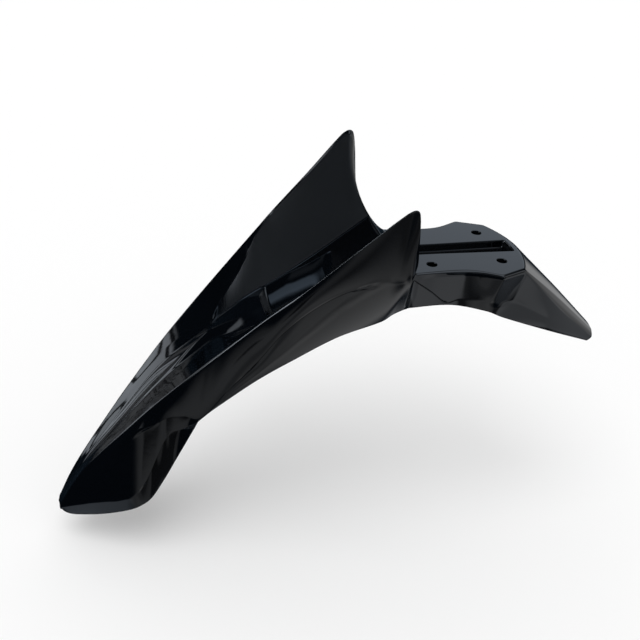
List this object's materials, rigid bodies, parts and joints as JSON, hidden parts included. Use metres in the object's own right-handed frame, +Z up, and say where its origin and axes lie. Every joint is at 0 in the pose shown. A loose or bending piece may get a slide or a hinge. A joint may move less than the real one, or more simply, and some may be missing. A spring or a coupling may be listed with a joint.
{
  "type": "motorcycle front mudguard",
  "caption": "High front mudguard for a dual-sport motorcycle: pointed beak, swept fins with a channel between, flat bolting plate and short sloping tail.",
  "frame": {"origin": "centre of the bolt pattern, on the top face of the bolting plate", "axes": "+X to the rear of the machine, +Z up from the plate, +Y to the machine's right as seen from the front"},
  "size_m": [0.585, 0.209, 0.3872],
  "materials": {
    "moulding": "gloss black, with a satin inner face on each fin"
  },
  "bodies": {
    "root": {"mudguard": "moulding"}
  },
  "joints": []
}
